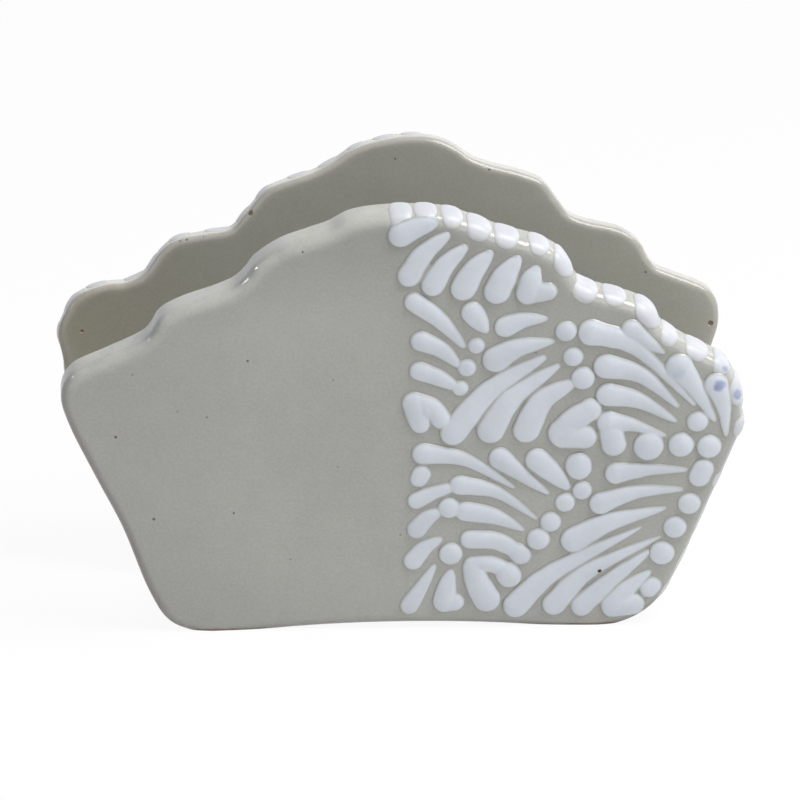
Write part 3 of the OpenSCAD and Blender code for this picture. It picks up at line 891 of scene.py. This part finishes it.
def new_ball(bm, around, up):
    """Adds a ball of radius 1 and gives its vertices."""
    return bmesh.ops.create_uvsphere(bm, u_segments=around, v_segments=up, radius=1.0)["verts"]


def rise_of(half_width):
    """How high wet slip stands for its half width."""
    return 2 * half_width / WIDTH_PER_RISE


def dome(up, rise):
    """Height over the face: a full crown above it and a shallow belly below."""
    return rise * up ** CROWN if up > 0 else SINK * up


def petal(bm, row):
    """Draws a ball out along the spine of a petal."""
    for vert in new_ball(bm, PETAL_AROUND, PETAL_ALONG):
        part = math.acos(max(-1.0, min(1.0, -vert.co.z))) / math.pi
        if part < HEAD_PART:
            turn, t, end = part / HEAD_PART * math.pi / 2, 0.0, -1
        elif part > 1 - TAIL_PART:
            turn, t, end = (1 - part) / TAIL_PART * math.pi / 2, 1.0, 1
        else:
            turn, t, end = math.pi / 2, (part - HEAD_PART) / (1 - HEAD_PART - TAIL_PART), 0
        here, run, half = along_petal(row, t)
        around = math.atan2(vert.co.y, vert.co.x)
        aside = Vector((run.y, -run.x, 0)) * half * math.sin(turn) * math.cos(around)
        vert.co = here + run * half * math.cos(turn) * end + aside
        vert.co.z = dome(math.sin(around), rise_of(half * math.sin(turn)))


def dot(bm, row):
    """Presses a ball down to a dot."""
    half = row[2] * DOT_WIDTH / 2 + SWELL
    for vert in new_ball(bm, DOT_AROUND, DOT_UP):
        up = vert.co.z
        vert.co = on_face(row) + Vector((vert.co.x, vert.co.y, 0)) * half
        vert.co.z = dome(up, rise_of(half))


print(f"a dot stands {rise_of(DOT_WIDTH / 2):.1f} mm over the glaze")

# %% [markdown]
# ## Where the potter trailed each stroke
#
# The strokes fan out in feathers, and a heart is two petals that meet. A loop could make
# a pattern that repeats, but these were drawn freely, so each has a row. A petal row
# holds the points of its spine from head to tail, the width of the head as a share of the
# widest petal, the width of the tail as a share of its own head, and a taper where it
# thins sooner or later than the others. A dot row holds a place and a size. The rear
# strokes near the crest and the corner are drawn in to suit the rear outline.

# %% Petals along the crests
front_crest_petal_shares = [
    ([(0.019, 0.861), (0.061, 0.913), (0.124, 0.953)], 0.78, 0.42, 2.2),
    ([(0.088, 0.838), (0.122, 0.883), (0.176, 0.923)], 0.8, 0.42, 2.2),
    ([(0.177, 0.829), (0.207, 0.871), (0.25, 0.908)], 0.88, 0.4, 2.2),
    ([(0.276, 0.821), (0.301, 0.86), (0.332, 0.893)], 0.92, 0.4, 2.2),
    ([(-0.006, 0.958), (0.035, 0.974), (0.085, 0.985)], 0.86, 0.5, 2.0),
    ([(0.367, 0.816), (0.375, 0.846), (0.387, 0.868)], 0.86, 0.45, 2.0),
    ([(0.424, 0.818), (0.38, 0.813)], 0.64, 1.1),
]
front_crest_dot_shares = [(0.394, 0.823, 0.6)]
rear_crest_petal_shares = [
    ([(0.012, 0.852), (0.046, 0.894), (0.106, 0.917)], 0.73, 0.4),
    ([(0.083, 0.834), (0.113, 0.87), (0.162, 0.887)], 0.73, 0.4),
    ([(0.172, 0.824), (0.196, 0.853), (0.234, 0.866)], 0.8, 0.35),
    ([(0.268, 0.813), (0.287, 0.835), (0.315, 0.848)], 0.82, 0.3),
    ([(-0.014, 0.938), (0.018, 0.94), (0.05, 0.94)], 0.6, 0.4),
    ([(0.352, 0.803), (0.36, 0.813), (0.37, 0.822)], 0.7, 0.5),
]
print("crest petals:", len(front_crest_petal_shares), "and", len(rear_crest_petal_shares))

# %% The left and the centre feather
left_feather_shares = [
    ([(0.035, 0.797), (0.11, 0.752), (0.178, 0.69)], 0.72, 0.3),
    ([(0.055, 0.703), (0.115, 0.681), (0.162, 0.645)], 0.72, 0.35),
    ([(0.05, 0.631), (0.105, 0.614), (0.15, 0.595)], 0.68, 0.55),
    ([(0.205, 0.77), (0.225, 0.748), (0.242, 0.728)], 0.8, 0.35),
    ([(0.302, 0.735), (0.355, 0.75), (0.42, 0.752)], 0.76, 0.2),
]
left_dot_shares = [
    (0.217, 0.69, 0.57), (0.19, 0.637, 0.62), (0.171, 0.588, 0.56),
]
centre_feather_shares = [
    ([(0.275, 0.657), (0.34, 0.684), (0.44, 0.697)], 0.9, 0.2),
    ([(0.152, 0.48), (0.258, 0.582), (0.412, 0.657)], 0.92, 0.3),
    ([(0.262, 0.485), (0.325, 0.563), (0.455, 0.637)], 0.95, 0.25),
    ([(0.367, 0.485), (0.412, 0.554), (0.49, 0.592)], 0.95, 0.45),
    ([(0.036, 0.553), (0.045, 0.529), (0.054, 0.502)], 0.82, 0.84),
    ([(0.056, 0.552), (0.089, 0.541), (0.115, 0.513)], 0.7, 1.0),
]
centre_dot_shares = [
    (0.48, 0.722, 0.72), (0.502, 0.66, 0.68), (0.532, 0.608, 0.8), (0.07, 0.537, 0.74),
]
print("feather petals:", len(left_feather_shares), "and", len(centre_feather_shares))

# %% The corner, the hearts and the side feather
corner_feather_shares = [
    ([(0.6, 0.636), (0.705, 0.612), (0.811, 0.537)], 0.88, 0.2, 1.3),
    ([(0.607, 0.567), (0.699, 0.551), (0.805, 0.501)], 0.84, 0.2, 1.4),
    ([(0.892, 0.382), (0.882, 0.364)], 0.74, 1),
]
front_corner_edge_shares = [
    ([(0.556, 0.718), (0.654, 0.696), (0.732, 0.647), (0.86, 0.542)], 0.95, 0.2, 1.0),
    ([(0.673, 0.723), (0.711, 0.697), (0.765, 0.667)], 0.76, 0.2, 1.5),
    ([(0.815, 0.631), (0.86, 0.584), (0.921, 0.502)], 0.95, 0.2, 1.2),
    ([(0.925, 0.587), (0.948, 0.534), (0.957, 0.465)], 0.86, 0.2, 1.0),
]
rear_corner_edge_shares = [
    ([(0.557, 0.71), (0.71, 0.645), (0.847, 0.538)], 0.9, 0.2),
    ([(0.65, 0.7), (0.68, 0.674), (0.716, 0.646)], 0.58, 0.25),
    ([(0.806, 0.612), (0.852, 0.572), (0.911, 0.504)], 0.85, 0.22),
    ([(0.91, 0.57), (0.935, 0.52), (0.952, 0.462)], 0.7, 0.2),
]
corner_dot_shares = [
    (0.872, 0.498, 0.72), (0.825, 0.442, 0.86), (0.908, 0.437, 0.82),
]
heart_shares = [
    ([(0.553, 0.531), (0.51, 0.508), (0.473, 0.477)], 0.84, 1.22),
    ([(0.538, 0.465), (0.477, 0.47)], 0.88, 1.1),
    ([(0.626, 0.446), (0.612, 0.495)], 0.86, 0.8),
    ([(0.612, 0.499), (0.68, 0.492), (0.775, 0.465)], 0.88, 0.16, 0.9),
    ([(0.522, 0.397), (0.525, 0.389)], 0.9, 0.95),
]
heart_dot_shares = [
    (0.729, 0.44, 1), (0.535, 0.334, 0.66), (0.485, 0.305, 0.68),
    (0.443, 0.258, 0.72), (0.407, 0.216, 0.78), (0.487, 0.48, 0.98),
]
side_feather_shares = [
    ([(0.635, 0.375), (0.733, 0.382), (0.84, 0.38)], 0.8, 0.2, 0.9),
    ([(0.592, 0.302), (0.696, 0.328), (0.828, 0.332)], 0.8, 0.2, 1.2),
]
side_dot_shares = [
    (0.853, 0.298, 0.76), (0.812, 0.24, 0.78), (0.775, 0.177, 0.84),
]
print("strokes in the corner:", len(corner_feather_shares + front_corner_edge_shares))

# %% The feathers at the foot
foot_feather_shares = [
    ([(0.513, 0.213), (0.62, 0.256), (0.78, 0.286)], 0.9, 0.15),
    ([(0.343, 0.053), (0.457, 0.136), (0.71, 0.24)], 0.9, 0.12),
    ([(0.457, 0.055), (0.556, 0.134), (0.768, 0.216)], 0.82, 0.12),
    ([(0.54, 0.05), (0.622, 0.11), (0.732, 0.178)], 0.78, 0.28),
    ([(0.631, 0.05), (0.68, 0.094), (0.738, 0.13)], 0.78, 0.25),
    ([(0.692, 0.052), (0.632, 0.046)], 0.78, 1),
    ([(0.748, 0.096), (0.739, 0.089)], 0.66, 1),
]
low_left_feather_shares = [
    ([(0.064, 0.43), (0.189, 0.413), (0.33, 0.345)], 0.78, 0.2, 1.2),
    ([(0.291, 0.416), (0.356, 0.374), (0.432, 0.329)], 0.79, 0.22, 1.2),
    ([(0.401, 0.411), (0.45, 0.375), (0.488, 0.344)], 0.84, 0.36),
    ([(0.045, 0.315), (0.09, 0.332), (0.145, 0.346)], 0.62, 0.6),
    ([(0.172, 0.352), (0.283, 0.332), (0.398, 0.267)], 0.72, 0.2, 1.2),
    ([(0.19, 0.287), (0.28, 0.272), (0.36, 0.239)], 0.74, 0.2),
    ([(0.047, 0.245), (0.075, 0.27), (0.103, 0.283)], 0.68, 0.6),
    ([(0.037, 0.168), (0.068, 0.197), (0.112, 0.217)], 0.7, 0.4),
    ([(0.026, 0.056), (0.06, 0.1), (0.098, 0.152)], 0.64, 0.3),
    ([(0.205, 0.218), (0.285, 0.212), (0.345, 0.184)], 0.7, 0.75),
    ([(0.348, 0.183), (0.357, 0.177)], 0.7, 1),
    ([(0.13, 0.066), (0.138, 0.105), (0.148, 0.138)], 0.8, 0.3),
    ([(0.16, 0.064), (0.13, 0.06)], 0.66, 1),
    ([(0.256, 0.07), (0.23, 0.108), (0.212, 0.15)], 0.94, 0.74),
    ([(0.212, 0.156), (0.27, 0.155), (0.322, 0.135)], 0.62, 1),
    ([(0.318, 0.132), (0.322, 0.126)], 0.86, 1),
    ([(0.059, 0.38), (0.052, 0.369)], 0.64, 0.95),
]
low_left_dot_shares = [
    (0.141, 0.296, 0.74), (0.148, 0.183, 0.8),
]
print("foot petals:", len(foot_feather_shares), "and", len(low_left_feather_shares))

# %% The groups on the two panels
GROUPS = {
    "crest_petals": (front_crest_petal_shares, front_crest_dot_shares),
    "left_feather": (left_feather_shares, left_dot_shares),
    "centre_feather": (centre_feather_shares, centre_dot_shares),
    "corner_feather": (corner_feather_shares + front_corner_edge_shares, corner_dot_shares),
    "hearts": (heart_shares, heart_dot_shares),
    "side_feather": (side_feather_shares, side_dot_shares),
    "foot_feather": (foot_feather_shares, []),
    "low_left_feather": (low_left_feather_shares, low_left_dot_shares),
}
REAR_GROUPS = {
    "crest_petals": (rear_crest_petal_shares, []),
    "corner_feather": (corner_feather_shares + rear_corner_edge_shares, corner_dot_shares),
}
print("groups of strokes on a panel:", len(GROUPS))

# %% [markdown]
# ## Strokes that ran together
#
# Where strokes touch, the wet slip ran together. A Boolean union would leave creases
# there. A voxel remesh joins the strokes of a group too, and a little smoothing after it
# rounds the valleys. The group is stretched upwards first, or the voxels would leave
# steps on such low strokes. Each vertex also stores its `cover`, which is how far it lies
# inside the strokes' edge, because the glaze pooled along every edge.

# %% Joining the strokes of a group
VOXEL = 0.24
SMOOTH_SHARE, SMOOTH_PASSES = 0.5, 5
HEIGHT_STRETCH = 2.5


def joined(bm, name):
    """The strokes of a group as one skin with soft valleys."""
    bmesh.ops.scale(bm, verts=bm.verts, vec=(1, 1, HEIGHT_STRETCH))
    rough = in_scene(name, mesh_of(bm, name))
    remesh = rough.modifiers.new("join", "REMESH")
    remesh.mode, remesh.voxel_size = "VOXEL", VOXEL
    smooth = rough.modifiers.new("soften", "SMOOTH")
    smooth.factor, smooth.iterations = SMOOTH_SHARE, SMOOTH_PASSES
    shown = rough.evaluated_get(bpy.context.evaluated_depsgraph_get())
    mesh = bpy.data.meshes.new_from_object(shown)
    bpy.data.objects.remove(rough)
    mesh.transform(Matrix.Scale(1 / HEIGHT_STRETCH, 4, (0, 0, 1)))
    return mesh


print(f"voxels of {VOXEL} mm, {VOXEL / HEIGHT_STRETCH:.2f} mm in height")

# %% How far a point lies inside its stroke
SPINE_STEPS = 90


def discs_of(petals, dots):
    """Round patches (x, y, half width) that together fill the strokes."""
    discs = [(*on_face(row).xy, row[2] * DOT_WIDTH / 2 + SWELL) for row in dots]
    for row in petals:
        for k in range(SPINE_STEPS + 1):
            here, _, half = along_petal(row, k / SPINE_STEPS)
            discs.append((here.x, here.y, half))
    return discs


def mark_cover(mesh, discs):
    """Stores how far each vertex lies inside the strokes' edge, in millimetres."""
    places = numpy.empty(len(mesh.vertices) * 3, dtype=numpy.float32)
    mesh.vertices.foreach_get("co", places)
    places = places.reshape(-1, 3)
    cover = numpy.zeros(len(places), dtype=numpy.float32)
    for x, y, half in discs:
        inside = half - numpy.hypot(places[:, 0] - x, places[:, 1] - y)
        numpy.maximum(cover, inside, out=cover)
    mesh.attributes.new("cover", "FLOAT", "POINT").data.foreach_set("value", cover)


print("patches along a petal:", SPINE_STEPS + 1)

# %% The groups of strokes
def group_mesh(name, petals, dots):
    """A group of strokes on the front panel, in metres."""
    bm = bmesh.new()
    for row in petals:
        petal(bm, row)
    for row in dots:
        dot(bm, row)
    mesh = joined(bm, name)
    mark_cover(mesh, discs_of(petals, dots))
    mesh.transform(TO_METRES @ STAND)
    return mesh


for group, strokes in GROUPS.items():
    mesh = group_mesh("front_" + group, *strokes)
    if group in REAR_GROUPS:
        turned = group_mesh("rear_" + group, *REAR_GROUPS[group])
    else:
        turned = mesh.copy()
    turned.transform(REAR)
    settle(mesh, "front_" + group, white_slip)
    settle(turned, "rear_" + group, white_slip)
    print(group, "has", len(mesh.polygons), "faces")

# %% [markdown]
# ## Dabs over the rim
#
# Along the crest the potter set short dabs that hang over the edge. A ball only moved
# there would stand off the rounding, so each dab is a ball pressed onto the panel's own
# skin: a distance along the cut edge and one over it give a place and the way out there.
# The rear dabs are lower and end half way over the rim, and the lowest ones at the sides
# of both panels were wiped nearly flat.
#
# A dab row holds where it lies as a share of the cut edge, its width, how far it reaches
# onto the face, and for a wiped one the share of its height that is left.

# %% Where the dabs are
wiped_dab_shares = [
    (0.852, 0.85, -0.4, 0.3), (0.884, 1.7, -0.8, 0.15), (0.917, 1.7, -0.7, 0.15),
    (0.943, 1.1, -0.6, 0.35),
]
front_dab_shares = [
    (0.498, 0.84, 0.7), (0.515, 0.86, -0.3), (0.5335, 0.86, 0), (0.5535, 1, 0.3),
    (0.5735, 0.98, 0.1), (0.597, 0.86, -0.1), (0.6195, 1.2, 0.1), (0.6445, 0.94, 0.3),
    (0.665, 0.95, -0.2), (0.6925, 1.4, 0.3), (0.715, 0.75, 0.1), (0.737, 1, 0),
    (0.758, 0.84, 0.2), (0.783, 1.15, 0.2), (0.8095, 0.94, -0.1),
]
rear_dab_shares = [
    (0.4855, 0.8, 0), (0.5055, 0.86, 0), (0.526, 0.74, 0), (0.5495, 0.8, 0.1),
    (0.572, 0.85, 0.1), (0.6, 0.76, 0), (0.6215, 0.8, 0), (0.644, 0.92, 0.2),
    (0.671, 0.88, 0.1), (0.698, 0.7, 0), (0.715, 0.76, 0.1), (0.742, 0.82, 0.1),
    (0.765, 0.9, -0.1), (0.79, 0.9, -0.2), (0.818, 0.8, -0.4),
]
print("full dabs:", len(front_dab_shares), "and", len(rear_dab_shares))

# %% The panel's skin near its rim
EDGE_ARC = EDGE_ROUND * math.pi / 2
RIM_FLAT = SLAB - EDGE_ROUND - INNER_ROUND
EDGE_REACH = 2


def run_table(line):
    """Distance along the cut edge at each of its points."""
    runs = [0.0]
    for a, b in zip(line, line[1:]):
        runs.append(runs[-1] + (b - a).length)
    return runs


def skin_point(line, runs, run, over):
    """Place and outward way at a run along the edge and a distance over it."""
    i = max(k for k in range(len(runs) - 1) if runs[k] <= max(run, 0.0))
    f = (run - runs[i]) / (runs[i + 1] - runs[i])
    here = line[i].lerp(line[i + 1], f)
    first, last = max(i - EDGE_REACH, 0), min(i + 1 + EDGE_REACH, len(line) - 1)
    span = (line[last] - line[first]).normalized()
    out = Vector((-span.y, span.x, 0))
    turn = max(0.0, min(math.pi / 2, over / EDGE_ROUND))
    dip = max(0.0, (over - EDGE_ARC - RIM_FLAT) / INNER_ROUND)
    inset = (EDGE_ROUND * (1 - math.sin(turn)) + max(0.0, -over)
             + INNER_ROUND * (1 - math.cos(dip)))
    depth = (EDGE_ROUND * (1 - math.cos(turn)) + max(0.0, min(RIM_FLAT, over - EDGE_ARC))
             + INNER_ROUND * math.sin(dip))
    way = out * (math.sin(turn) * math.cos(dip))
    way.z = math.cos(turn) - math.sin(dip)
    return here - out * inset - Vector((0, 0, depth)), way


print(f"a front dab reaches {EDGE_ARC + RIM_FLAT + INNER_ROUND:.1f} mm over the edge")

# %% A dab pressed onto the rim
DAB_WIDTH = 6.4
DAB_FULLNESS = 2.6
DAB_LOWNESS = 0.52
DAB_COVER = 0.1
TINY = 1e-6
DAB_SHARES = {"front": 1.0, "rear": 0.6}


def fullness(x, y):
    """How far out a point of the round ball goes, so that the dab is squarer."""
    size = math.hypot(x, y)
    if size < TINY:
        return 1.0
    full = abs(x / size) ** DAB_FULLNESS + abs(y / size) ** DAB_FULLNESS
    return full ** (-1 / DAB_FULLNESS)


def dab(bm, line, runs, row, rim_share):
    """One dab, from a tip near the face to the flat of the rim."""
    cover, on_rim = (bm.verts.layers.float[name] for name in ("cover", "on_rim"))
    run = row[0] * runs[-1]
    half = row[1] * DAB_WIDTH / 2 + SWELL / 2
    wiped = row[3] if len(row) > 3 else 1.0
    rise = rise_of(half) * DAB_LOWNESS * rim_share * wiped
    tip = -row[2] * EDGE_ROUND
    end = EDGE_ARC + rim_share * (RIM_FLAT + INNER_ROUND)
    for vert in new_ball(bm, DOT_AROUND, DOT_UP):
        x, y, up = vert.co
        size = fullness(x, y)
        place, way = skin_point(line, runs, run + x * size * half,
                                (tip + end) / 2 + y * size * (end - tip) / 2)
        vert.co = place + way * dome(up, rise)
        vert[cover] = (1 - math.hypot(x, y)) * half + DAB_COVER
        vert[on_rim] = 1.0


print(f"a dab stands {rise_of(DAB_WIDTH / 2) * DAB_LOWNESS:.1f} mm over the rim")

# %% All the dabs
for side, rows in (("front", front_dab_shares + wiped_dab_shares),
                   ("rear", rear_dab_shares + wiped_dab_shares)):
    line = outline(side)
    runs = run_table(line)
    bm = bmesh.new()
    bm.verts.layers.float.new("cover")
    bm.verts.layers.float.new("on_rim")
    for row in rows:
        dab(bm, line, runs, row, DAB_SHARES[side])
    bm.transform(TO_METRES @ TURNS[side])
    bmesh.ops.recalc_face_normals(bm, faces=bm.faces)
    settle(mesh_of(bm, side + "_rim_dabs"), side + "_rim_dabs", white_slip)
    print(side, "dabs:", len(rows), "on an edge of", round(runs[-1]), "mm")

# %% [markdown]
# ## Floor, light and camera
#
# The photograph has a plain white ground. More light would bleach the glaze, so only the
# rays that come from the camera, by way of a reflection or through glass see floor and
# sky almost fully white. The light on the holder comes from a dim sky and the lamps, and
# the floor keeps a soft shadow.

# %% Floor and sky
FLOOR_HALF = 6.0
FLOOR_GREY = (0.85, 0.85, 0.85, 1)
WHITE = (1, 1, 1, 1)
FLOOR_WHITE_SHARE = 0.93
SKY_STRENGTH = 0.28

bm = bmesh.new()
bmesh.ops.create_grid(bm, x_segments=1, y_segments=1, size=FLOOR_HALF)
floor_mesh = mesh_of(bm, "floor")
floor = in_scene("floor", floor_mesh)
floor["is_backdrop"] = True


def seen_rays(tree):
    """1 for rays from the camera, from a mirror or through glass, and 0 for light."""
    camera, glossy, through = (tree.node("ShaderNodeLightPath", outlet=k) for k in (0, 3, 6))
    return tree.maths("MINIMUM", camera + glossy + through, 1.0)


material, tree = new_material("floor_white")
matt = tree.node("ShaderNodeBsdfDiffuse", {}, {"Color": FLOOR_GREY})
white = tree.node("ShaderNodeEmission", {}, {"Color": WHITE, "Strength": 1.0})
show(tree, tree.node("ShaderNodeMixShader", {},
                     {0: seen_rays(tree) * FLOOR_WHITE_SHARE, 1: matt, 2: white}))
floor_mesh.materials.append(material)

world = bpy.data.worlds.new("sky")
bpy.context.scene.world = world
world.use_nodes = True
world.node_tree.nodes.clear()
tree = Wire(world.node_tree)
strength = tree.node("ShaderNodeMapRange", {},
                     {"Value": seen_rays(tree), "To Min": SKY_STRENGTH, "To Max": 1.0})
show(tree, tree.node("ShaderNodeBackground", {}, {"Color": WHITE, "Strength": strength}),
     "ShaderNodeOutputWorld")
print("sky at", SKY_STRENGTH, "for the light, and at 1 for what is seen")

# %% [markdown]
# A large soft key lamp stands high on the right and makes the rims bright. A wide fill
# in front keeps the decorated face clear, another behind lights the back, and two small
# lamps give the sharp glints in the notches of the crest. Each row holds the direction
# from the holder, the distance and the size in metres, and the power in watts.

# %% Lamps
LAMP_AIM = Vector((0, 0, 0.05))
LAMPS = {
    "key": ((0.48, -0.27, 0.83), 1.1, 0.7, 13.0),
    "front_fill": ((0.4, -1.0, 0.12), 2.6, 1.2, 6.0),
    "left_glint": ((-0.86, -0.2, 0.46), 1.0, 0.05, 1.0),
    "right_glint": ((0.35, -0.6, 0.72), 1.0, 0.05, 0.4),
    "back_fill": ((0.9, 1.0, 0.6), 2.0, 1.0, 5.0),
}

for name, (toward, distance, size, power) in LAMPS.items():
    data = bpy.data.lights.new(name, "AREA")
    data.shape, data.size, data.energy = "DISK", size, power
    lamp = in_scene(name, data)
    way = Vector(toward).normalized()
    lamp.location = LAMP_AIM + way * distance
    lamp.rotation_euler = (-way).to_track_quat("-Z", "Y").to_euler()
print("lamps:", list(LAMPS))

# %% [markdown]
# The corners of both panels and the crest, as the picture shows them, fix the camera's
# turn, climb and distance, and the holder's size there fixes the lens. The focal length
# is known in pixels, and the sensor's width turns it to millimetres.

# %% Camera
CAMERA_TURN = math.radians(-2.93)
CAMERA_CLIMB = math.radians(17.02)
CAMERA_DISTANCE = 1.78885
CAMERA_AIM = Vector((0.00125, 0.0, 0.04864))
FOCAL_PIXELS = 7468.28
PICTURE_PIXELS = 800
SENSOR = 36.0

data = bpy.data.cameras.new("camera")
data.sensor_width = SENSOR
data.lens = FOCAL_PIXELS / PICTURE_PIXELS * SENSOR
camera = in_scene("camera", data)
back = Vector((math.sin(CAMERA_TURN) * math.cos(CAMERA_CLIMB),
               -math.cos(CAMERA_TURN) * math.cos(CAMERA_CLIMB), math.sin(CAMERA_CLIMB)))
camera.location = CAMERA_AIM + back * CAMERA_DISTANCE
camera.rotation_euler = (-back).to_track_quat("-Z", "Y").to_euler()
bpy.context.scene.camera = camera
bpy.context.scene.view_settings.view_transform = "Standard"
print(f"lens {data.lens:.0f} mm, {CAMERA_DISTANCE:.2f} m away")

# %% [markdown]
# ## Measure and finish
#
# The finished holder has to fill the same box as the frame, so its own box is worked out.

# %% Sizes kept
low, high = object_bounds()
